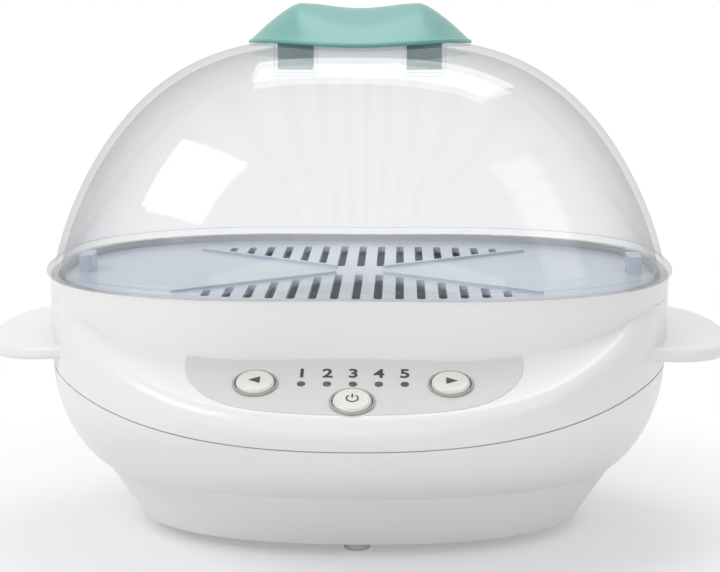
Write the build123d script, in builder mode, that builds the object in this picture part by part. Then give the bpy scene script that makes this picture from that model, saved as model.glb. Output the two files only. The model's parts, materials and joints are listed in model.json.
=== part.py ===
from build123d import *
import math
import os

# Compact steam sterilizer: clear lift-off lid, slotted tray, water basin and a heated base.
# Millimetres, +Z up, front towards -Y, origin under the middle of the bounding box.

# Driving dimensions
rim_y = 13.1  # the middle of the rim lies this far behind the origin
rim_half = 100.0
rim_depth = 80.5
rim_top = 84.3
rim_power = 2.65
waist = 4.0  # how far the front and back of the rim dip inwards
waist_spread = 24.0
wall = 2.4

ledge_angle = 22.0
ledge_height = 67.5  # height of the console ledge where it meets the waist
ledge_roll = 5.0
lip_depth = 107.5  # how far the console stands in front of the rim's middle

floor_bottom = 3.5
floor_top = 6.0
kink_height = 20.0
seam_height = 57.0
seam_radius = 221.0
seam_gap = 0.5  # shadow gap between the two housings
seam_start = 35.0  # the seam starts to drop this far in front of the rim's middle

ear_tip = 120.0
ear_depth = 46.0
ear_thickness = 4.2
ear_root_height = 66.0
ear_droop = 4.0

shelf_top = 75.0
shelf_thickness = 2.0
shelf_inset = 8.5
seal_thickness = 1.0
flange_thickness = 1.6
basin_wall = 1.5
basin_bottom = 46.0
side_gap = 0.7  # between pieces that drop in beside each other

tray_top = 82.0
tray_thickness = 2.0
slot_width = 2.6
slot_pitch = 6.6
lug_x = 90.3

dome_base = 84.0
dome_height = 74.5
dome_half = 99.0
dome_depth = 78.5
dome_wall = 2.0
lip_width = 1.2
lip_thickness = 2.6

handle_half = 36.3
handle_depth = 31.0
handle_hump = 169.8
handle_dip = 168.2
handle_end = 157.0
tab_x = 20.9
tab_width = 11.6
tab_depth = 6.0
tab_bottom = 148.0
pocket_height = 11.0  # reaches up into the lid's wall

button_radius = 5.6
button_gap = 0.3
button_travel = 0.7
arrow_x = 27.9
arrow_y = -89.3
power_y = -97.7
led_pitch = 7.4
led_radius = 1.2
panel_thickness = 1.0
panel_proud = 0.2
board_depth = 10.0
board_thickness = 1.6
board_half = 34.0
switch_side = 6.0
switch_height = 3.5

plate_radius = 45.0
plate_thickness = 3.0
element_radius = 34.0
element_wire = 3.2
thermostat_radius = 8.0
bracket_half = 58.0
post_x = 50.0
post_y = 26.0
post_radius = 4.0
post_top = 40.0
screw_radius = 1.5
foot_radius = 4.1
foot_x = 68.6
foot_y = 43.4

os.makedirs("parts", exist_ok=True)
tilt = math.radians(ledge_angle)
normal = (0, -math.sin(tilt), math.cos(tilt))


def save(piece, label):
    piece.label = label
    export_step(piece, f"parts/{label}.step")


def outline(half, front, back, front_power=rim_power, back_power=rim_power, dip=0.0):
    """One closed rounded outline around the rim's middle, with an optional waist."""
    points = []
    steps = 48
    for step in range(steps):
        angle = 2 * math.pi * (step + 0.5) / steps
        c, s = math.cos(angle), math.sin(angle)
        power = back_power if s > 0 else front_power
        x = half * math.copysign(abs(c) ** (2 / power), c)
        y = (back if s > 0 else front) * abs(s) ** (2 / power)
        y -= dip * math.exp(-((x / waist_spread) ** 2) / 2)
        points.append((x, rim_y + math.copysign(y, s)))
    with BuildLine() as edge:
        Spline(*points, periodic=True)
    return make_face(edge.edges())


def rim_outline(inset, dip=waist):
    return outline(rim_half - inset, rim_depth - inset, rim_depth - inset, dip=dip)


def ring(low, high, outer_inset, inner_inset):
    """A band that follows the rim, between two insets and two heights."""
    with BuildPart() as band:
        with BuildSketch(Plane.XY.offset(low)):
            rim_outline(outer_inset)
        extrude(amount=high - low)
        with BuildSketch(Plane.XY.offset(low)):
            rim_outline(inner_inset)
        extrude(amount=high - low, mode=Mode.SUBTRACT)
    return band.part


def rim_block(low, high, inset):
    with BuildPart() as block:
        with BuildSketch(Plane.XY.offset(low)):
            rim_outline(inset)
        extrude(amount=high - low)
    return block.part


# height, half width, depth in front and depth behind of the lower body
bowl = [
    (kink_height, 84.0, 58.6, 62.0),
    (27.0, 89.7, 76.0, 69.0),
    (34.0, 93.6, 89.0, 73.5),
    (41.0, 96.3, 99.0, 76.5),
    (48.0, 98.1, 105.4, 78.0),
    (54.0, 99.0, lip_depth, 78.6),
    (78.0, 99.3, lip_depth, 78.8),
]
pedestal_foot = (floor_bottom, 73.0, 51.3, 54.5)


def body(inset, bottom):
    """The lower body inside out by inset, standing on bottom."""
    with BuildPart() as shape:
        for height, half, front, back in bowl:
            with BuildSketch(Plane.XY.offset(height)):
                outline(half - inset, front - inset, back - inset, 2.3, 2.6)
        loft()
        for height, half, front, back in (pedestal_foot, bowl[0]):
            with BuildSketch(Plane.XY.offset(max(height, bottom))):
                outline(half - inset, front - inset, back - inset, 2.3, 2.6)
        loft()
    return shape.part


def ledge_z(y, drop=0.0):
    """Height of the ledge plane, at y from the rim's middle, sunk by drop along its normal."""
    return ledge_height + math.tan(tilt) * (y + rim_depth - waist) - drop / math.cos(tilt)


def ledge_slab(low, high):
    """Everything between two depths along the ledge's normal; high is nearer the sky."""
    near, far = -140.0, 40.0
    with BuildPart() as slab:
        with BuildSketch(Plane.YZ):
            with BuildLine():
                Polyline(
                    (near + rim_y, ledge_z(near, -low)),
                    (far + rim_y, ledge_z(far, -low)),
                    (far + rim_y, ledge_z(far, -high)),
                    (near + rim_y, ledge_z(near, -high)),
                    close=True,
                )
            make_face()
        extrude(amount=2 * ear_tip, both=True)
    return slab.part


def on_ledge(x, y, lift=0.0):
    """A plane on the ledge over (x, y), raised by lift along its normal."""
    place = Vector(x, y + rim_y, ledge_z(y)) + Vector(*normal) * lift
    return Plane(origin=place, x_dir=(1, 0, 0), z_dir=normal)


def below_seam():
    """Everything under the seam, which drops in an arc towards the front."""
    far = lip_depth + 30
    drop = seam_radius - math.sqrt(seam_radius**2 - (far - seam_start) ** 2)
    half_way = seam_start + (far - seam_start) / 2
    half_drop = seam_radius - math.sqrt(seam_radius**2 - (half_way - seam_start) ** 2)
    with BuildPart() as block:
        with BuildSketch(Plane.YZ):
            with BuildLine():
                ThreePointArc(
                    (rim_y - seam_start, seam_height),
                    (rim_y - half_way, seam_height - half_drop),
                    (rim_y - far, seam_height - drop),
                )
                Polyline(
                    (rim_y - far, seam_height - drop),
                    (rim_y - far, -20),
                    (rim_y + far, -20),
                    (rim_y + far, seam_height),
                    (rim_y - seam_start, seam_height),
                )
            make_face()
        extrude(amount=2 * ear_tip, both=True)
    return block.part


def ear_blank():
    tilt_x = math.radians(ear_droop)
    root = Plane(
        origin=(88, rim_y - 5, ear_root_height - ear_thickness),
        x_dir=(math.cos(tilt_x), 0, -math.sin(tilt_x)),
        z_dir=(math.sin(tilt_x), 0, math.cos(tilt_x)),
    )
    with BuildPart() as ear:
        with BuildSketch(root) as plan:
            with BuildLine():
                points = []
                for step in range(24):
                    angle = 2 * math.pi * (step + 0.5) / 24
                    c, s = math.cos(angle), math.sin(angle)
                    reach = ear_tip - 88
                    points.append(
                        (
                            reach * math.copysign(abs(c) ** 0.8, c),
                            ear_depth * math.copysign(abs(s) ** 0.8, s),
                        )
                    )
                Spline(*points, periodic=True)
            make_face()
        extrude(amount=ear_thickness)
        fillet(ear.edges(), 1.6)
    return ear.part


# Shared solids
seam_block = below_seam()
outer_body = body(0.0, floor_bottom)
inner_body = body(wall, floor_top)
above_ledge = ledge_slab(0.0, 80.0)
under_ledge_skin = ledge_slab(-wall, 80.0)

button_places = {"left": (-arrow_x, arrow_y), "right": (arrow_x, arrow_y), "power": (0, power_y)}
led_places = [(led_pitch * k, arrow_y) for k in range(-2, 3)]

# Console body under the inclined ledge, with its rolled lip
with BuildPart() as console:
    add(outer_body)
    add(above_ledge, mode=Mode.SUBTRACT)
    slope = console.faces().filter_by(lambda f: f.normal_at().dot(Vector(*normal)) > 0.999)
    lip = slope.edges().filter_by(lambda e: e.center().Y < rim_y - 50)
    fillet(lip, ledge_roll)

with BuildPart() as cavity:
    add(inner_body)
    add(under_ledge_skin, mode=Mode.SUBTRACT)
    add(rim_block(kink_height + 12, rim_top + 1, wall) & rim_block(40, rim_top + 1, wall))

# The panel's plan shape, cut to the slab of the wanted depth
with BuildPart() as panel_column:
    with BuildSketch(Plane.XY.offset(40)):
        with BuildLine():
            Spline(
                (-49, rim_y - 79),
                (-45.5, rim_y - 90.5),
                (-37.5, rim_y - 97.8),
                (-22.4, rim_y - 102.1),
                (0, rim_y - 103.5),
                (22.4, rim_y - 102.1),
                (37.5, rim_y - 97.8),
                (45.5, rim_y - 90.5),
                (49, rim_y - 79),
            )
            Polyline((49, rim_y - 79), (49, rim_y - 60), (-49, rim_y - 60), (-49, rim_y - 79))
        make_face()
    extrude(amount=50)
    add(rim_block(30, 100, -0.5), mode=Mode.SUBTRACT)

with BuildPart() as control_panel:
    add(panel_column.part)
    add(ledge_slab(panel_proud - panel_thickness, panel_proud), mode=Mode.INTERSECT)
    for x, y in button_places.values():
        with BuildSketch(on_ledge(x, y, panel_proud)):
            Circle(button_radius + button_gap)
        extrude(amount=-2 * panel_thickness, mode=Mode.SUBTRACT)
    for x, y in led_places:
        with BuildSketch(on_ledge(x, y, panel_proud)):
            Circle(led_radius)
        extrude(amount=-2 * panel_thickness, mode=Mode.SUBTRACT)
save(control_panel.part, "control_panel")

board_post_places = [(-19.0, -82.5), (19.0, -82.5)]

# Upper housing: band, console, ears and the inner shelf
ear = ear_blank()
with BuildPart() as upper_housing:
    add(console.part)
    add(rim_block(40, rim_top, 0.0))
    add(ear)
    add(mirror(ear, about=Plane.YZ, mode=Mode.PRIVATE))
    add(cavity.part, mode=Mode.SUBTRACT)
    add(seam_block.moved(Location((0, 0, seam_gap))), mode=Mode.SUBTRACT)
    add(ring(shelf_top - shelf_thickness, shelf_top, wall, shelf_inset))
    add(
        panel_column.part & ledge_slab(panel_proud - panel_thickness, 3.0),
        mode=Mode.SUBTRACT,
    )
    for x, y in button_places.values():
        with BuildSketch(on_ledge(x, y)):
            Circle(button_radius + button_gap)
        extrude(amount=-2 * wall, mode=Mode.SUBTRACT)
    for x, y in led_places:
        with BuildSketch(on_ledge(x, y)):
            Circle(led_radius)
        extrude(amount=-2 * wall, mode=Mode.SUBTRACT)
    for x, y in board_post_places:
        with BuildSketch(on_ledge(x, y, -board_depth)):
            Circle(2.6)
            Circle(screw_radius, mode=Mode.SUBTRACT)
        extrude(amount=board_depth - wall + 0.2)
save(upper_housing.part, "upper_housing")

inlet_width, inlet_height, inlet_z = 22.0, 16.0, 36.0
inlet_y = rim_y + 57.0
inlet_length = 30.0
board_posts = [(x, y) for x in (-30, 30) for y in (rim_y - 12, rim_y + 18)]
power_board_bottom = 11.0

# Lower housing: bowl and pedestal with posts, foot sockets and the inlet opening
with BuildPart() as lower_housing:
    add(outer_body)
    add(inner_body, mode=Mode.SUBTRACT)
    add(seam_block, mode=Mode.INTERSECT)
    with BuildSketch(Plane.XY.offset(floor_top)):
        with Locations(*[(sx * post_x, rim_y + sy * post_y) for sx in (-1, 1) for sy in (-1, 1)]):
            Circle(post_radius)
    extrude(amount=post_top - floor_top)
    with BuildSketch(Plane.XY.offset(floor_bottom)):
        with Locations(*[(sx * post_x, rim_y + sy * post_y) for sx in (-1, 1) for sy in (-1, 1)]):
            Circle(screw_radius + 0.2)
    extrude(amount=post_top, mode=Mode.SUBTRACT)
    with BuildSketch(Plane.XY.offset(floor_bottom)):
        with Locations(*[(sx * post_x, rim_y + sy * post_y) for sx in (-1, 1) for sy in (-1, 1)]):
            Circle(3.0)
    extrude(amount=4.0, mode=Mode.SUBTRACT)
    with BuildSketch(Plane.XY.offset(floor_top)):
        with Locations(*board_posts):
            Circle(3.0)
            Circle(screw_radius, mode=Mode.SUBTRACT)
    extrude(amount=power_board_bottom - floor_top)
    with BuildSketch(Plane.XZ.offset(-inlet_y)):
        with Locations((0, inlet_z)):
            Rectangle(inlet_width, inlet_height)
    extrude(amount=-inlet_length, mode=Mode.SUBTRACT)
save(lower_housing.part, "lower_housing")

foot_places = [(0, -foot_y), (0, foot_y + 2), (foot_x, 2), (-foot_x, 2)]
with BuildPart() as feet:
    for x, y in foot_places:
        with BuildSketch(Plane.XY):
            with Locations((x, rim_y + y)):
                Circle(foot_radius)
        extrude(amount=floor_bottom)
    fillet(feet.edges().group_by(Axis.Z)[0], 0.8)
save(feet.part, "feet")

with BuildPart() as power_inlet:
    with BuildSketch(Plane.XZ.offset(-inlet_y)):
        with Locations((0, inlet_z)):
            Rectangle(inlet_width, inlet_height)
    extrude(amount=-16.0)
    with BuildSketch(Plane.XZ.offset(-(inlet_y + 16.0))):
        with Locations((0, inlet_z)):
            SlotOverall(15.0, 8.5)
    extrude(amount=12.0, mode=Mode.SUBTRACT)
save(power_inlet.part, "power_inlet")

with BuildPart() as inlet_pins:
    with BuildSketch(Plane.XZ.offset(-(inlet_y + 4.0))):
        with Locations((-3.5, inlet_z), (3.5, inlet_z)):
            Circle(1.2)
    extrude(amount=-5.0)
save(inlet_pins.part, "inlet_pins")

# Basin, its seal and the heater under it
flange_bottom = shelf_top + seal_thickness
flange_top = flange_bottom + flange_thickness
basin_inset = shelf_inset + side_gap
save(ring(shelf_top, flange_bottom, wall + side_gap, shelf_inset), "basin_seal")

corner_posts = [(sx * post_x, rim_y + sy * post_y) for sx in (-1, 1) for sy in (-1, 1)]
bracket_screws = [(-bracket_half + 4, rim_y), (bracket_half - 4, rim_y)]
element_z = basin_bottom - plate_thickness - element_wire
bracket_top = element_z - element_wire
with BuildPart() as water_basin:
    add(rim_block(flange_bottom, flange_top, wall + side_gap))
    add(rim_block(basin_bottom, flange_top, basin_inset))
    add(rim_block(basin_bottom + basin_wall, flange_top + 1, basin_inset + basin_wall), mode=Mode.SUBTRACT)
    with BuildSketch(Plane.XY.offset(post_top)):
        with Locations(*corner_posts):
            Circle(post_radius)
            Circle(screw_radius, mode=Mode.SUBTRACT)
    extrude(amount=basin_bottom - post_top)
    with BuildSketch(Plane.XY.offset(bracket_top)):
        with Locations(*bracket_screws):
            Circle(post_radius)
            Circle(screw_radius, mode=Mode.SUBTRACT)
    extrude(amount=basin_bottom - bracket_top)
save(water_basin.part, "water_basin")

with BuildPart() as heating_plate:
    with BuildSketch(Plane.XY.offset(basin_bottom - plate_thickness)):
        with Locations((0, rim_y)):
            Circle(plate_radius)
    extrude(amount=plate_thickness)
save(heating_plate.part, "heating_plate")

with BuildPart() as heating_element:
    with BuildSketch(Plane.XZ.offset(-rim_y)):
        with Locations((element_radius, element_z)):
            Circle(element_wire)
    revolve(axis=Axis((0, rim_y, 0), (0, 0, 1)), revolution_arc=310)
save(heating_element.part, "heating_element")

with BuildPart() as element_terminals:
    for angle in (0.0, 310.0):
        turn = math.radians(angle)
        middle = (element_radius * math.cos(turn), rim_y + element_radius * math.sin(turn), element_z)
        away = (math.sin(turn), -math.cos(turn), 0) if angle == 0 else (-math.sin(turn), math.cos(turn), 0)
        with BuildSketch(Plane(origin=middle, z_dir=away)):
            Circle(1.6)
        extrude(amount=5.0)
save(element_terminals.part, "element_terminals")

with BuildPart() as heater_bracket:
    with BuildSketch(Plane.XY.offset(bracket_top - 1.5)):
        with Locations((0, rim_y)):
            Rectangle(2 * bracket_half, 12)
            Circle(thermostat_radius + 3)
            Circle(thermostat_radius + 0.3, mode=Mode.SUBTRACT)
        with Locations(*bracket_screws):
            Circle(screw_radius, mode=Mode.SUBTRACT)
    extrude(amount=1.5)
save(heater_bracket.part, "heater_bracket")

with BuildPart() as thermostat:
    with BuildSketch(Plane.XY.offset(basin_bottom - plate_thickness - 10)):
        with Locations((0, rim_y)):
            Circle(thermostat_radius)
    extrude(amount=10)
    with BuildSketch(Plane.XY.offset(basin_bottom - plate_thickness - 14)):
        with Locations((-3.5, rim_y), (3.5, rim_y)):
            Rectangle(0.8, 4)
    extrude(amount=4)
save(thermostat.part, "thermostat")

with BuildPart() as thermal_fuse:
    with BuildSketch(Plane.YZ.offset(-8)):
        with Locations((rim_y + 20, basin_bottom - plate_thickness - 2)):
            Circle(2.0)
    extrude(amount=16)
save(thermal_fuse.part, "thermal_fuse")


def screw_group(places, head_bottom, tip, head_radius, head_height):
    """Pan-head screws with their heads down, one at each place."""
    with BuildPart() as screws:
        with BuildSketch(Plane.XY.offset(head_bottom)):
            with Locations(*places):
                Circle(head_radius)
        extrude(amount=head_height)
        with BuildSketch(Plane.XY.offset(head_bottom + head_height)):
            with Locations(*places):
                Circle(screw_radius - 0.02)
        extrude(amount=tip - head_bottom - head_height)
    return screws.part


save(screw_group(bracket_screws, bracket_top - 3.5, basin_bottom - 2, 2.8, 2.0), "heater_screws")
save(screw_group(corner_posts, floor_bottom + 2.0, basin_bottom - 1, 2.8, 2.0), "housing_screws")

# Power board on the floor of the lower housing
with BuildPart() as power_board:
    with BuildSketch(Plane.XY.offset(power_board_bottom)):
        with Locations((0, rim_y + 3)):
            Rectangle(70, 40)
        with Locations(*board_posts):
            Circle(screw_radius, mode=Mode.SUBTRACT)
    extrude(amount=board_thickness)
save(power_board.part, "power_board")
board_top = power_board_bottom + board_thickness


def standing_box(label, x, y, size_x, size_y, height):
    with BuildPart() as block:
        with BuildSketch(Plane.XY.offset(board_top)):
            with Locations((x, rim_y + y)):
                RectangleRounded(size_x, size_y, 0.8)
        extrude(amount=height)
    save(block.part, label)


standing_box("relay", -16, 8, 19, 15, 15)
standing_box("terminal_block", 10, 16, 20, 9, 12)
with BuildPart() as power_capacitor:
    with BuildSketch(Plane.XY.offset(board_top)):
        with Locations((12, rim_y - 2)):
            Circle(5)
    extrude(amount=14)
save(power_capacitor.part, "power_capacitor")

with BuildPart() as power_board_screws:
    with BuildSketch(Plane.XY.offset(board_top)):
        with Locations(*board_posts):
            Circle(2.6)
    extrude(amount=1.8)
    with BuildSketch(Plane.XY.offset(floor_top)):
        with Locations(*board_posts):
            Circle(screw_radius - 0.02)
    extrude(amount=board_top - floor_top)
save(power_board_screws.part, "power_board_screws")

# Control board behind the console, with its switches and lights
with BuildPart() as control_board:
    with BuildSketch(on_ledge(0, -90.5, -board_depth)):
        Rectangle(2 * board_half, 22)
    extrude(amount=-board_thickness)
    for x, y in board_post_places:
        with BuildSketch(on_ledge(x, y, -board_depth)):
            Circle(screw_radius)
        extrude(amount=-board_thickness, mode=Mode.SUBTRACT)
save(control_board.part, "control_board")

with BuildPart() as board_screws:
    for x, y in board_post_places:
        with BuildSketch(on_ledge(x, y, -board_depth - board_thickness)):
            Circle(2.6)
        extrude(amount=-1.8)
        with BuildSketch(on_ledge(x, y, -board_depth - board_thickness)):
            Circle(screw_radius - 0.02)
        extrude(amount=board_depth + board_thickness - wall - 1)
save(board_screws.part, "board_screws")

switch_top = -board_depth + switch_height
plunger_radius = 1.75
with BuildPart() as tact_switches:
    for x, y in button_places.values():
        with BuildSketch(on_ledge(x, y, -board_depth)):
            Rectangle(switch_side, switch_side)
        extrude(amount=switch_height)
        with BuildSketch(on_ledge(x, y, switch_top)):
            Circle(plunger_radius + 0.25)
        extrude(amount=-3.0, mode=Mode.SUBTRACT)
save(tact_switches.part, "tact_switches")

with BuildPart() as indicator_leds:
    for x, y in led_places:
        with BuildSketch(on_ledge(x, y, -board_depth)):
            Rectangle(2.0, 2.0)
        extrude(amount=1.2)
save(indicator_leds.part, "indicator_leds")

with BuildPart() as led_lenses:
    for x, y in led_places:
        with BuildSketch(on_ledge(x, y, -board_depth + 1.5)):
            Circle(led_radius)
        extrude(amount=board_depth - 1.5 + panel_proud + 0.15)
save(led_lenses.part, "led_lenses")

with BuildPart() as button_bezels:
    for x, y in button_places.values():
        with BuildSketch(on_ledge(x, y, panel_proud)):
            Circle(button_radius + button_gap + 0.6)
            Circle(button_radius + button_gap, mode=Mode.SUBTRACT)
        extrude(amount=0.5)
save(button_bezels.part, "button_bezels")

plunger_top = switch_top + button_travel + 0.1
flange_level = -wall - 0.1
for side, (x, y) in button_places.items():
    with BuildPart() as button:
        with BuildSketch(on_ledge(x, y, flange_level - 1.0)):
            Circle(button_radius)
        extrude(amount=2.6 - flange_level)
        fillet(button.edges().sort_by(lambda e: e.center().dot(Vector(*normal)))[-1], 1.2)
        with BuildSketch(on_ledge(x, y, flange_level - 1.0)):
            Circle(button_radius + button_gap + 0.7)
        extrude(amount=1.0)
        with BuildSketch(on_ledge(x, y, plunger_top)):
            Circle(2.0)
        extrude(amount=flange_level - 1.0 - plunger_top)
    save(button.part, f"button_{side}")
    with BuildPart() as plunger:
        with BuildSketch(on_ledge(x, y, plunger_top)):
            Circle(plunger_radius)
        extrude(amount=-2.8)
    save(plunger.part, f"plunger_{side}")

# Lift-out steam tray
tray_inset = wall + side_gap
skirt_wall = 2.0
with BuildPart() as steam_tray:
    add(rim_block(flange_top, tray_top, tray_inset))
    add(rim_block(flange_top - 1, tray_top - tray_thickness, tray_inset + skirt_wall), mode=Mode.SUBTRACT)
    columns = int(58 / slot_pitch)
    for column in range(-columns, columns + 1):
        x = column * slot_pitch
        start = max(9.0, 4.0 + 0.82 * abs(x))
        end = (rim_depth - 18) * (1 - (abs(x) / 86) ** 2.65) ** (1 / 2.65) - waist
        if end - start > 6:
            with BuildSketch(Plane.XY.offset(tray_top)):
                with Locations((x, rim_y + (start + end) / 2), (x, rim_y - (start + end) / 2)):
                    SlotOverall(end - start, slot_width, rotation=90)
            extrude(amount=-2 * tray_thickness, mode=Mode.SUBTRACT)
    rib = math.atan2(0.82, 1.0)
    for turn in (rib, -rib):
        for side in (-1, 1):
            reach = 74.0
            middle = side * reach / 2 + side * 5
            with BuildSketch(Plane.XY.offset(tray_top)):
                with Locations(Location((middle * math.cos(turn), rim_y + middle * math.sin(turn)), math.degrees(turn))):
                    SlotOverall(reach - 10, 1.6)
            extrude(amount=0.8)
    for side in (-1, 1):
        with BuildSketch(Plane.XY.offset(tray_top)):
            with Locations((side * lug_x, rim_y)):
                RectangleRounded(4.3, 13, 1.6)
        extrude(amount=5.6)
save(steam_tray.part, "steam_tray")


# Clear lid
def dome_scale(z, shrink=0.0):
    return (1 - ((z - dome_base) / (dome_height - shrink)) ** 1.33) ** 0.31


def dome_solid(inset, low):
    """The lid's rounded form, inset on every side."""
    heights = [low, 92.0, 104.0, 118.0, 130.0, 140.0, 148.0, 153.0]
    with BuildPart() as shape:
        for z in heights:
            scale = dome_scale(z, inset)
            dip = waist * max(0.0, 1 - (z - dome_base) / 36)
            with BuildSketch(Plane.XY.offset(z)):
                outline(dome_half * scale - inset, dome_depth * scale - inset, dome_depth * scale - inset, dip=dip)
        loft()
        cap = dome_base + dome_height - inset - 0.9
        crown = cap - heights[-1]
        with BuildSketch(Plane.XY.offset(heights[-1])):
            scale = dome_scale(heights[-1], inset)
            outline(dome_half * scale - inset, dome_depth * scale - inset, dome_depth * scale - inset)
        for share, z in ((0.86, cap - 0.55 * crown), (0.66, cap - 0.2 * crown), (0.4, cap)):
            with BuildSketch(Plane.XY.offset(z)):
                scale = dome_scale(heights[-1], inset) * share
                outline(dome_half * scale - inset, dome_depth * scale - inset, dome_depth * scale - inset)
        loft()
    return shape.part


tab_places = [(-tab_x, rim_y), (tab_x, rim_y)]
dome_outer = dome_solid(0.0, rim_top)
dome_inner = dome_solid(dome_wall, dome_base)
skirt_clear = 0.7
with BuildPart() as lid_dome:
    add(dome_outer)
    add(rim_block(rim_top, rim_top + lip_thickness, -lip_width))
    fillet(lid_dome.faces().sort_by(Axis.Z)[0].outer_wire().edges(), 1.0)
    add(dome_inner, mode=Mode.SUBTRACT)
    add(ring(tray_top + 0.6, rim_top + 0.5, wall + 0.5, wall + 2.5))
    with BuildSketch(Plane.XY.offset(tab_bottom - 2.2)):
        with Locations(*tab_places):
            Rectangle(tab_width + 2.4, tab_depth + 2.4)
    extrude(amount=pocket_height)
    with BuildSketch(Plane.XY.offset(tab_bottom - 1.0)):
        with Locations(*tab_places):
            Rectangle(tab_width + 0.2, tab_depth + 0.2)
    extrude(amount=20, mode=Mode.SUBTRACT)
save(lid_dome.part, "lid_dome")

handle_clear = dome_solid(-0.2, rim_top)
with BuildPart() as lid_handle:
    with BuildSketch(Plane.XY.offset(dome_base + 60)):
        with BuildLine():
            ThreePointArc((-handle_half, rim_y), (0, rim_y - handle_depth), (handle_half, rim_y))
            ThreePointArc((handle_half, rim_y), (0, rim_y + handle_depth), (-handle_half, rim_y))
        make_face()
    extrude(amount=30)
    with BuildSketch(Plane.XZ.offset(-rim_y)):
        with BuildLine():
            Spline(
                (-handle_half - 1, handle_end - 1.4),
                (-28.5, 164.6),
                (-19.5, handle_hump),
                (0, handle_dip),
                (19.5, handle_hump),
                (28.5, 164.6),
                (handle_half + 1, handle_end - 1.4),
            )
            Polyline(
                (handle_half + 1, handle_end - 1.4),
                (handle_half + 1, 140),
                (-handle_half - 1, 140),
                (-handle_half - 1, handle_end - 1.4),
            )
        make_face()
    extrude(amount=50, both=True, mode=Mode.INTERSECT)
    with BuildSketch(Plane.YZ):
        with BuildLine():
            Spline(
                (rim_y - handle_depth - 1, 154.6),
                (rim_y - 20, 157.4),
                (rim_y - 10.5, 163),
                (rim_y - 5, 168.4),
                (rim_y, 170.2),
                (rim_y + 5, 168.4),
                (rim_y + 10.5, 163),
                (rim_y + 20, 157.4),
                (rim_y + handle_depth + 1, 154.6),
            )
            Polyline(
                (rim_y + handle_depth + 1, 154.6),
                (rim_y + handle_depth + 1, 140),
                (rim_y - handle_depth - 1, 140),
                (rim_y - handle_depth - 1, 154.6),
            )
        make_face()
    extrude(amount=50, both=True, mode=Mode.INTERSECT)
    add(handle_clear, mode=Mode.SUBTRACT)
    with BuildSketch(Plane.XY.offset(tab_bottom)):
        with Locations(*tab_places):
            Rectangle(tab_width, tab_depth)
    extrude(amount=13.0)
save(lid_handle.part, "lid_handle")
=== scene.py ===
"""A compact steam sterilizer on a white sweep: satin white base, clear dome lid, teal handle."""

import json
import math

import bmesh
import bpy
from mathutils import Matrix, Vector


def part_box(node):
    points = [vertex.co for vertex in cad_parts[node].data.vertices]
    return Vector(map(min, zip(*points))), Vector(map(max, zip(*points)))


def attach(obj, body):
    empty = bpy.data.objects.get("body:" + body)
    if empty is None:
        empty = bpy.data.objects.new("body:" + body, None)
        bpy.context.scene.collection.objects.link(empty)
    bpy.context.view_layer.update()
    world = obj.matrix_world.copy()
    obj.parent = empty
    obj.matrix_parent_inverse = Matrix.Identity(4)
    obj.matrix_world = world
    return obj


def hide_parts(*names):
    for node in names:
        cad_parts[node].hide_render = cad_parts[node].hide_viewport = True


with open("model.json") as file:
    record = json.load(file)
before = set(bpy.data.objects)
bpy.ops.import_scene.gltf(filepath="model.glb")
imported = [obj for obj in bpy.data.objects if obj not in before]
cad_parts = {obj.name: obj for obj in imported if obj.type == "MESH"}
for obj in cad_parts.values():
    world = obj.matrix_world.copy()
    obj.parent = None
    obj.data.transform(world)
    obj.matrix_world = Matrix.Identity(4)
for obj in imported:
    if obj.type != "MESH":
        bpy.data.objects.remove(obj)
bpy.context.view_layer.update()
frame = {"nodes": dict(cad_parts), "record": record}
MM = 0.001

# Driving sizes of the lid and the console, in millimetres, about the middle of the rim
RIM_Y = 13.1
RIM_POWER = 2.65
WAIST, WAIST_SPREAD = 4.0, 24.0
RIM_TOP = 84.3
DOME_BASE, DOME_HEIGHT = 84.0, 74.5
DOME_HALF, DOME_DEPTH = 99.0, 78.5
DOME_WALL = 2.0
DOME_RISE, DOME_SPREAD = 1.33, 0.31  # exponents of the dome's profile
WAIST_FADE = 36.0  # the waist fades out this far up the dome
LIP_HALF, LIP_DEPTH, LIP_HEIGHT, LIP_RADIUS = 101.1, 81.6, 2.6, 1.3
SKIRT_HALF, SKIRT_DEPTH, SKIRT_WALL, SKIRT_BOTTOM = 96.9, 77.4, 1.3, 82.7
HANDLE_HALF, HANDLE_DEPTH = 36.2, 30.8
HANDLE_HUMP, HANDLE_DIP = 169.6, 168.0
HUMP_X = 19.5
TAB_X, TAB_HALF_WIDTH, TAB_HALF_DEPTH, TAB_BOTTOM = 20.9, 5.7, 2.9, 148.2
POCKET_HALF_WIDTH, POCKET_HALF_DEPTH, POCKET_BOTTOM, POCKET_WALL = 7.0, 4.2, 146.0, 1.0
LEDGE_TILT = math.radians(22)
LEDGE_UP = Vector((0, math.cos(LEDGE_TILT), math.sin(LEDGE_TILT)))
LEDGE_OUT = Vector((0, -math.sin(LEDGE_TILT), math.cos(LEDGE_TILT)))
LENS_RADIUS = 1.2
NUMERAL_SIZE, NUMERAL_RISE = 6.1, 3.5
PRINT_SINK, PRINT_LIFT = 0.11, 0.03

# Camera and light
CAMERA_DISTANCE, CAMERA_HEIGHT = 600.0, 171.76
CAMERA_PITCH, CAMERA_YAW = math.radians(9.0), math.radians(1.3)
LENS, SENSOR = 91.45, 36.0


def new_material(name):
    """A node material and its handles: nodes, links and the Principled shader."""
    material = bpy.data.materials.new(name)
    material.use_nodes = True
    nodes, links = material.node_tree.nodes, material.node_tree.links
    return material, nodes, links, nodes["Principled BSDF"]


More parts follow.
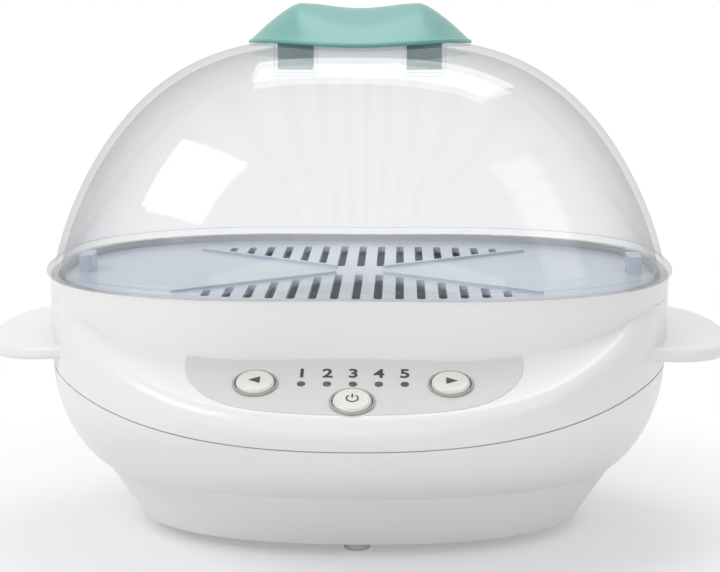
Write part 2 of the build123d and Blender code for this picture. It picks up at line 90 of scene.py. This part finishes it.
def moulded(name, color, roughness, grain=0.03, scale=900.0, coat=0.0, mottle=0.04):
    """Moulded plastic: faint colour mottle, fine grain and uneven gloss."""
    material, nodes, links, shader = new_material(name)
    place = nodes.new("ShaderNodeTexCoord")
    cloud = nodes.new("ShaderNodeTexNoise")
    cloud.inputs["Scale"].default_value = 22.0
    cloud.inputs["Detail"].default_value = 3.0
    links.new(place.outputs["Object"], cloud.inputs["Vector"])
    tint = nodes.new("ShaderNodeMix")
    tint.data_type = "RGBA"
    tint.inputs["A"].default_value = [*[c * (1 - mottle) for c in color], 1]
    tint.inputs["B"].default_value = [*[min(1.0, c * (1 + mottle / 2)) for c in color], 1]
    links.new(cloud.outputs["Fac"], tint.inputs["Factor"])
    links.new(tint.outputs["Result"], shader.inputs["Base Color"])
    gloss = nodes.new("ShaderNodeMapRange")
    gloss.inputs["To Min"].default_value = roughness * 0.88
    gloss.inputs["To Max"].default_value = roughness * 1.12
    links.new(cloud.outputs["Fac"], gloss.inputs["Value"])
    links.new(gloss.outputs["Result"], shader.inputs["Roughness"])
    fine = nodes.new("ShaderNodeTexNoise")
    fine.inputs["Scale"].default_value = scale
    fine.inputs["Detail"].default_value = 2.0
    links.new(place.outputs["Object"], fine.inputs["Vector"])
    bump = nodes.new("ShaderNodeBump")
    bump.inputs["Strength"].default_value = grain
    bump.inputs["Distance"].default_value = 0.0002
    links.new(fine.outputs["Fac"], bump.inputs["Height"])
    links.new(bump.outputs["Normal"], shader.inputs["Normal"])
    shader.inputs["Coat Weight"].default_value = coat
    shader.inputs["Coat Roughness"].default_value = 0.12
    return material


def metal(name, color, roughness):
    material = moulded(name, color, roughness, 0.05, 1500.0)
    material.node_tree.nodes["Principled BSDF"].inputs["Metallic"].default_value = 1.0
    return material


def clear_plastic(name):
    """Clear lid wall: see-through, glossier and a little greyer where it is seen edge-on."""
    material, nodes, links, shader = new_material(name)
    nodes.remove(shader)
    out = nodes["Material Output"]
    facing = nodes.new("ShaderNodeLayerWeight")
    facing.inputs["Blend"].default_value = 0.5
    steep = nodes.new("ShaderNodeMath")
    steep.operation = "POWER"
    steep.inputs[1].default_value = 2.6
    links.new(facing.outputs["Facing"], steep.inputs[0])
    tone = nodes.new("ShaderNodeMix")
    tone.data_type = "RGBA"
    tone.inputs["A"].default_value = (0.975, 0.977, 0.98, 1)
    tone.inputs["B"].default_value = (0.80, 0.81, 0.82, 1)
    links.new(steep.outputs["Value"], tone.inputs["Factor"])
    through = nodes.new("ShaderNodeBsdfTransparent")
    links.new(tone.outputs["Result"], through.inputs["Color"])
    gloss = nodes.new("ShaderNodeBsdfGlossy")
    gloss.inputs["Roughness"].default_value = 0.05
    mirror = nodes.new("ShaderNodeMapRange")
    mirror.inputs["To Min"].default_value = 0.03
    mirror.inputs["To Max"].default_value = 0.42
    links.new(steep.outputs["Value"], mirror.inputs["Value"])
    place = nodes.new("ShaderNodeTexCoord")
    wave = nodes.new("ShaderNodeTexNoise")
    wave.inputs["Scale"].default_value = 9.0
    links.new(place.outputs["Object"], wave.inputs["Vector"])
    bump = nodes.new("ShaderNodeBump")
    bump.inputs["Strength"].default_value = 0.08
    bump.inputs["Distance"].default_value = 0.002
    links.new(wave.outputs["Fac"], bump.inputs["Height"])
    links.new(bump.outputs["Normal"], gloss.inputs["Normal"])
    mix = nodes.new("ShaderNodeMixShader")
    links.new(mirror.outputs["Result"], mix.inputs["Fac"])
    links.new(through.outputs["BSDF"], mix.inputs[1])
    links.new(gloss.outputs["BSDF"], mix.inputs[2])
    links.new(mix.outputs["Shader"], out.inputs["Surface"])
    return material


MATERIALS = {
    "white_housing": moulded("white_housing", (0.83, 0.83, 0.83), 0.33, 0.02, coat=0.2, mottle=0.012),
    "panel_grey": moulded("panel_grey", (0.66, 0.67, 0.66), 0.42, 0.03, mottle=0.02),
    "bezel_grey": moulded("bezel_grey", (0.33, 0.33, 0.33), 0.25, coat=0.4),
    "dark_lens": moulded("dark_lens", (0.05, 0.05, 0.055), 0.2, coat=0.5),
    "circuit_board": moulded("circuit_board", (0.03, 0.16, 0.07), 0.45, 0.2),
    "steel": metal("steel", (0.62, 0.62, 0.62), 0.32),
    "black_plastic": moulded("black_plastic", (0.03, 0.03, 0.03), 0.45),
    "basin_white": moulded("basin_white", (0.70, 0.73, 0.77), 0.3, coat=0.2),
    "silicone": moulded("silicone", (0.68, 0.68, 0.68), 0.6),
    "aluminium": metal("aluminium", (0.70, 0.70, 0.71), 0.42),
    "white_ceramic": moulded("white_ceramic", (0.75, 0.73, 0.70), 0.55),
    "terminal_green": moulded("terminal_green", (0.05, 0.28, 0.14), 0.45),
    "foot_rubber": moulded("foot_rubber", (0.66, 0.66, 0.66), 0.6, 0.1),
    "brass": metal("brass", (0.75, 0.58, 0.25), 0.3),
    "clear_lid": clear_plastic("clear_lid"),
    "teal_handle": moulded("teal_handle", (0.145, 0.40, 0.365), 0.38, 0.02, coat=0.15, mottle=0.03),
    "tray_blue": moulded("tray_blue", (0.53, 0.60, 0.70), 0.3, 0.03, coat=0.2, mottle=0.02),
    "button_pearl": moulded("button_pearl", (0.74, 0.73, 0.69), 0.22, 0.02, coat=0.6, mottle=0.05),
    "ink": moulded("ink", (0.035, 0.035, 0.035), 0.5),
}


def make_piece(name, verts, faces, slot, body, smooth=True):
    """A mesh in millimetres becomes a piece that rides on a body and wears a slot's material."""
    mesh = bpy.data.meshes.new(name)
    mesh.from_pydata([Vector(v) * MM for v in verts], [], faces)
    build = bmesh.new()
    build.from_mesh(mesh)
    bmesh.ops.remove_doubles(build, verts=build.verts, dist=1e-6)
    bmesh.ops.recalc_face_normals(build, faces=build.faces)
    build.to_mesh(mesh)
    build.free()
    for face in mesh.polygons:
        face.use_smooth = smooth
    piece = bpy.data.objects.new(name, mesh)
    bpy.context.scene.collection.objects.link(piece)
    mesh.materials.append(MATERIALS[slot])
    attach(piece, body)
    return piece


def outline_point(angle, half, depth, dip):
    """A point of the rounded outline around the rim's middle, with its waist dipped in."""
    c, s = math.cos(angle), math.sin(angle)
    x = half * math.copysign(abs(c) ** (2 / RIM_POWER), c)
    dent = dip * math.exp(-((x / WAIST_SPREAD) ** 2) / 2) * min(1, abs(s) * 4)
    y = depth * abs(s) ** (2 / RIM_POWER) - dent
    return x, RIM_Y + math.copysign(y, s)


def dome_scale(z, shrink=0.0):
    share = max(0.0, min(1.0, (z - DOME_BASE) / (DOME_HEIGHT - shrink)))
    return (1 - share**DOME_RISE) ** DOME_SPREAD


def dome_height(x, y):
    """Height of the lid's outer surface over a point given from the rim's middle."""
    reach = ((abs(x) / DOME_HALF) ** RIM_POWER + (abs(y) / DOME_DEPTH) ** RIM_POWER) ** (1 / RIM_POWER)
    return DOME_BASE + DOME_HEIGHT * (1 - min(1.0, reach) ** (1 / DOME_SPREAD)) ** (1 / DOME_RISE)


def dome_rings(inset, top_steps=44):
    """Rings of the dome from its base to its top, closer together near both ends."""
    start = 0.6
    rings = []
    for step in range(top_steps + 1):
        turn = step / top_steps * math.pi / 2
        share = math.sin(turn) ** 1.25
        z = DOME_BASE + start + (DOME_HEIGHT - inset - start) * share
        scale = dome_scale(z, inset) if step < top_steps else 0.0
        dip = WAIST * max(0.0, 1 - (z - DOME_BASE) / WAIST_FADE)
        half = max(0.0, DOME_HALF * scale - inset)
        depth = max(0.0, DOME_DEPTH * scale - inset)
        rings.append((half, depth, dip if half > 0 else 0.0, z))
    return rings


def lathe(name, rings, slot, body, segments=192):
    """A closed skin through a list of outline rings that share one parameter."""
    verts, faces = [], []
    for half, depth, dip, z in rings:
        for k in range(segments):
            angle = 2 * math.pi * (k + 0.5) / segments
            verts.append((*outline_point(angle, half, depth, dip), z))
    for ring in range(len(rings) - 1):
        for k in range(segments):
            a, b = ring * segments + k, ring * segments + (k + 1) % segments
            faces.append((a, b, b + segments, a + segments))
    return make_piece(name, verts, faces, slot, body)


def clear_dome():
    outer = dome_rings(0.0)
    inner = dome_rings(DOME_WALL)[::-1]
    lip = []
    lip_steps = 8
    for step in range(lip_steps + 1):
        turn = math.radians(-90 + 180 * step / lip_steps)
        out = LIP_RADIUS * math.cos(turn) - LIP_RADIUS
        height = RIM_TOP + LIP_HEIGHT / 2 + LIP_HEIGHT / 2 * math.sin(turn)
        lip.append((LIP_HALF + out, LIP_DEPTH + out, WAIST, height))
    skirt = [
        (SKIRT_HALF - SKIRT_WALL, SKIRT_DEPTH - SKIRT_WALL, WAIST, SKIRT_BOTTOM),
        (SKIRT_HALF, SKIRT_DEPTH, WAIST, SKIRT_BOTTOM),
        (SKIRT_HALF, SKIRT_DEPTH, WAIST, RIM_TOP),
    ]
    lip_top = RIM_TOP + LIP_HEIGHT
    foot = [(DOME_HALF - 0.1, DOME_DEPTH - 0.1, WAIST, lip_top)]
    body = [ring for ring in outer if ring[3] > lip_top + 0.4]
    dome = lathe("lid_shell", inner + skirt + lip + foot + body, "clear_lid", "lid")
    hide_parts("lid_dome")
    return dome


def pocket(name, x):
    """A clear cup under the dome that takes one tab of the handle."""
    low, high = POCKET_BOTTOM, dome_height(x, 0) - DOME_WALL + 0.4
    half_w, half_d, wall = POCKET_HALF_WIDTH, POCKET_HALF_DEPTH, POCKET_WALL
    verts = []
    rings = [(half_w - wall, half_d - wall, high), (half_w - wall, half_d - wall, low + wall)]
    rings += [(half_w, half_d, low), (half_w, half_d, high)]
    for w, d, z in rings:
        verts += [(x - w, RIM_Y - d, z), (x + w, RIM_Y - d, z), (x + w, RIM_Y + d, z), (x - w, RIM_Y + d, z)]
    faces = [(4, 5, 6, 7), (8, 9, 10, 11)]
    for base in (0, 8):
        faces += [(base + k, base + (k + 1) % 4, base + 4 + (k + 1) % 4, base + 4 + k) for k in range(4)]
    faces += [(12 + k, 12 + (k + 1) % 4, (k + 1) % 4, k) for k in range(4)]
    piece = make_piece(name, verts, faces, "clear_lid", "lid", smooth=False)
    edge = piece.modifiers.new("edge", "BEVEL")
    edge.width = 0.3 * MM
    edge.segments = 2
    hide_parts("lid_dome")
    return piece


def ridge(x):
    """Height of the handle's crest: two humps with a dip between and steep ends."""
    t = abs(x) / HANDLE_HALF
    hump = HUMP_X / HANDLE_HALF
    if t < hump:
        return HANDLE_DIP + (HANDLE_HUMP - HANDLE_DIP) * (0.5 - 0.5 * math.cos(math.pi * t / hump))
    fall = (t - hump) / (1 - hump)
    end = dome_height(HANDLE_HALF, 0) + 0.9
    return end + (HANDLE_HUMP - end) * (1 - fall**1.35) ** 1.02


def handle():
    """Pinch handle: a lens in plan whose flanks flare down to a thin edge on the dome."""
    along, across = 96, 56
    verts, faces = [], []
    radius = (HANDLE_HALF**2 + HANDLE_DEPTH**2) / (2 * HANDLE_DEPTH)
    for top in (True, False):
        for i in range(along + 1):
            x = HANDLE_HALF * math.sin(math.pi * (i / along - 0.5))
            reach = math.sqrt(max(0.0, radius**2 - x**2)) - (radius - HANDLE_DEPTH)
            for j in range(across + 1):
                v = math.sin(math.pi * (j / across - 0.5))
                y = v * max(0.0, reach)
                low = dome_height(x, y) + 0.35
                edge = dome_height(x, y) + 1.5
                crest = max(ridge(x), edge)
                z = edge + (crest - edge) * (1 - abs(v) ** 1.7) ** 1.45 if top else low
                verts.append((x, RIM_Y + y, z))
    row = across + 1
    count = (along + 1) * row
    for i in range(along):
        for j in range(across):
            a = i * row + j
            faces.append((a, a + 1, a + row + 1, a + row))
            faces.append((a + count, a + row + count, a + row + 1 + count, a + 1 + count))
        for j in (0, across):
            a = i * row + j
            faces.append((a, a + row, a + row + count, a + count))
    piece = make_piece("handle_grip", verts, faces, "teal_handle", "lid")
    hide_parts("lid_handle")
    return piece


def handle_tab(name, x):
    corners = ((-1, -1), (1, -1), (1, 1), (-1, 1))
    verts = []
    for z in (TAB_BOTTOM, dome_height(x, 0) + 0.6):
        verts += [(x + sx * TAB_HALF_WIDTH, RIM_Y + sy * TAB_HALF_DEPTH, z) for sx, sy in corners]
    faces = [(0, 1, 2, 3), (4, 5, 6, 7)] + [(k, (k + 1) % 4, 4 + (k + 1) % 4, 4 + k) for k in range(4)]
    piece = make_piece(name, verts, faces, "teal_handle", "lid", smooth=False)
    soften = piece.modifiers.new("edge", "BEVEL")
    soften.width = 0.5 * MM
    soften.segments = 3
    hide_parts("lid_handle")
    return piece


def ledge_frame(x, y, z):
    """A plane parallel to the console ledge at a point, with its normal outwards."""
    turn = Matrix((Vector((1, 0, 0)), LEDGE_UP, LEDGE_OUT)).transposed().to_4x4()
    return Matrix.Translation(Vector((x, y, z))) @ turn


def flat_print(name, loops, place, body, thickness=0.06 * MM):
    """Printed marks: thin solid islands on a plane, from lists of 2-D loops in metres."""
    verts, faces = [], []
    for loop in loops:
        start = len(verts)
        count = len(loop)
        for height in (0.0, thickness):
            verts += [place @ Vector((px, py, height)) for px, py in loop]
        faces.append(tuple(range(start + count - 1, start - 1, -1)))
        faces.append(tuple(range(start + count, start + 2 * count)))
        for k in range(count):
            nxt = (k + 1) % count
            faces.append((start + k, start + nxt, start + count + nxt, start + count + k))
    return make_piece(name, [v / MM for v in verts], faces, "ink", body, smooth=False)


def numeral(digit, place):
    """A plain printed numeral from Blender's own font, made into a mesh."""
    curve = bpy.data.curves.new(f"numeral_{digit}", "FONT")
    curve.body = str(digit)
    curve.size = NUMERAL_SIZE * MM
    curve.align_x = "CENTER"
    curve.extrude = 0.00003
    curve.offset = 0.00016
    text = bpy.data.objects.new(f"text_{digit}", curve)
    bpy.context.scene.collection.objects.link(text)
    bpy.context.view_layer.update()
    mesh = bpy.data.meshes.new_from_object(text)
    bpy.data.objects.remove(text)
    mesh.transform(place)
    mesh.materials.clear()
    mesh.materials.append(MATERIALS["ink"])
    piece = bpy.data.objects.new(f"numeral_{digit}", mesh)
    bpy.context.scene.collection.objects.link(piece)
    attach(piece, "base")
    return piece


def ring_loop(radius, width, start, end, steps=32):
    """An open ring as one closed 2-D loop: out along one edge and back along the other."""
    angles = [start + (end - start) * k / steps for k in range(steps + 1)]
    outer, inner = radius + width / 2, radius - width / 2
    loop = [(outer * math.cos(a), outer * math.sin(a)) for a in angles]
    loop += [(inner * math.cos(a), inner * math.sin(a)) for a in reversed(angles)]
    return loop


def console_prints():
    """The numerals over the five lenses, and the marks on the three buttons."""
    low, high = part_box("led_lenses")
    radius = LENS_RADIUS * MM
    step = (high.x - low.x - 2 * radius) / 4
    lens_top = Vector((0, low.y + radius * LEDGE_UP.y, high.z - radius * LEDGE_UP.z))
    base = lens_top + LEDGE_UP * NUMERAL_RISE * MM - LEDGE_OUT * PRINT_SINK * MM
    for k in range(5):
        x = low.x + radius + step * k
        numeral(k + 1, ledge_frame(x, base.y, base.z))
    arrow = [(1.9, 0), (-1.35, 1.65), (-1.35, -1.65)]
    for side, sign in (("left", -1), ("right", 1)):
        loop = [(sign * a * MM, b * MM) for a, b in arrow]
        flat_print(f"arrow_{side}", [loop], button_top(side), f"button_{side}")
    bar = [(-0.25, 0.35), (0.25, 0.35), (0.25, 2.1), (-0.25, 2.1)]
    loops = [[(a * MM, b * MM) for a, b in bar]]
    loops.append([(a * MM, b * MM) for a, b in ring_loop(1.65, 0.42, math.radians(125), math.radians(415))])
    flat_print("power_mark", loops, button_top("power"), "button_power")


def button_top(side):
    """A plane just above the flat top of a button, read from its highest vertices."""
    node = frame["nodes"][f"button_{side}"]
    peak = max(v.co.dot(LEDGE_OUT) for v in node.data.vertices)
    top = [v.co for v in node.data.vertices if v.co.dot(LEDGE_OUT) > peak - 1e-5]
    middle = sum(top, Vector()) / len(top)
    middle += LEDGE_OUT * PRINT_LIFT * MM
    return ledge_frame(*middle)


def dress_nodes():
    """Every CAD node gets the procedural material of its slot."""
    slots = {part["node"]: part["material_slot"] for part in frame["record"]["subparts"]}
    for name, node in frame["nodes"].items():
        node.data.materials.clear()
        node.data.materials.append(MATERIALS[slots[name]])


def studio():
    scene = bpy.context.scene
    scene.view_settings.view_transform = "Standard"
    floor_mesh = bpy.data.meshes.new("floor")
    floor_mesh.from_pydata([(-6, -6, 0), (6, -6, 0), (6, 6, 0), (-6, 6, 0)], [], [(0, 1, 2, 3)])
    floor = bpy.data.objects.new("floor", floor_mesh)
    scene.collection.objects.link(floor)
    material, nodes, links, shader = new_material("floor")
    shader.inputs["Base Color"].default_value = (0.92, 0.92, 0.925, 1)
    shader.inputs["Roughness"].default_value = 0.55
    # Painted light: camera and glossy rays see the floor partly as white emission. The emission is at full
    # strength beyond 0.21 m from the middle under the object and is dimmed to 0.30 within 0.08 m of it, so
    # the floor around the object is painted darker. The diffuse part still shows the real shadows.
    glow = nodes.new("ShaderNodeEmission")
    path = nodes.new("ShaderNodeLightPath")
    place = nodes.new("ShaderNodeTexCoord")
    reach = nodes.new("ShaderNodeVectorMath")
    reach.operation = "LENGTH"
    links.new(place.outputs["Object"], reach.inputs[0])
    fade = nodes.new("ShaderNodeMapRange")
    fade.interpolation_type = "SMOOTHSTEP"
    fade.inputs["From Min"].default_value = 0.08
    fade.inputs["From Max"].default_value = 0.21
    fade.inputs["To Min"].default_value = 0.30
    fade.inputs["To Max"].default_value = 1.0
    links.new(reach.outputs["Value"], fade.inputs["Value"])
    seen = nodes.new("ShaderNodeMath")
    seen.operation = "MULTIPLY"
    either = nodes.new("ShaderNodeMath")
    either.operation = "MAXIMUM"
    links.new(path.outputs["Is Camera Ray"], either.inputs[0])
    links.new(path.outputs["Is Glossy Ray"], either.inputs[1])
    links.new(either.outputs["Value"], seen.inputs[0])
    links.new(fade.outputs["Result"], seen.inputs[1])
    mix = nodes.new("ShaderNodeMixShader")
    links.new(seen.outputs["Value"], mix.inputs["Fac"])
    links.new(shader.outputs["BSDF"], mix.inputs[1])
    links.new(glow.outputs["Emission"], mix.inputs[2])
    links.new(mix.outputs["Shader"], nodes["Material Output"].inputs["Surface"])
    floor_mesh.materials.append(material)
    world = bpy.data.worlds.new("studio")
    scene.world = world
    world.use_nodes = True
    tree = world.node_tree
    back = tree.nodes["Background"]
    path = tree.nodes.new("ShaderNodeLightPath")
    either = tree.nodes.new("ShaderNodeMath")
    either.operation = "MAXIMUM"
    tree.links.new(path.outputs["Is Camera Ray"], either.inputs[0])
    tree.links.new(path.outputs["Is Glossy Ray"], either.inputs[1])
    level = tree.nodes.new("ShaderNodeMapRange")
    level.inputs["To Min"].default_value = 0.46
    level.inputs["To Max"].default_value = 1.0
    tree.links.new(either.outputs["Value"], level.inputs["Value"])
    back.inputs["Color"].default_value = (1, 1, 1, 1)
    tree.links.new(level.outputs["Result"], back.inputs["Strength"])
    softbox("key", (-0.85, -0.55, 0.95), 0.8, 0.5, 6.5)
    softbox("fill", (0.95, -0.65, 0.75), 0.5, 0.9, 2.0)
    softbox("low", (0.0, -1.3, 0.25), 1.2, 0.3, 1.6)
    softbox("top", (0.1, 0.5, 1.3), 1.0, 0.6, 5.0)


def softbox(name, spot, size_x, size_y, watts):
    light = bpy.data.lights.new(name, "AREA")
    light.shape = "RECTANGLE"
    light.size, light.size_y = size_x, size_y
    light.energy = watts
    lamp = bpy.data.objects.new(name, light)
    bpy.context.scene.collection.objects.link(lamp)
    lamp.location = spot
    aim = Vector((0, 0, 0.08)) - Vector(spot)
    lamp.rotation_euler = aim.to_track_quat("-Z", "Y").to_euler()


def camera():
    data = bpy.data.cameras.new("view")
    data.sensor_width = SENSOR
    data.lens = LENS
    data.clip_start = 0.05
    eye = bpy.data.objects.new("view", data)
    bpy.context.scene.collection.objects.link(eye)
    turn = Matrix.Rotation(CAMERA_YAW, 4, "Z")
    eye.location = Vector((0, RIM_Y * MM, 0)) + turn @ Vector((0, -CAMERA_DISTANCE * MM, CAMERA_HEIGHT * MM))
    eye.rotation_euler = (math.pi / 2 - CAMERA_PITCH, 0, CAMERA_YAW)
    bpy.context.scene.camera = eye


camera()
studio()
dress_nodes()
clear_dome()
handle()
for side, x in (("left", -TAB_X), ("right", TAB_X)):
    pocket(f"tab_pocket_{side}", x)
    handle_tab(f"handle_tab_{side}", x)
console_prints()
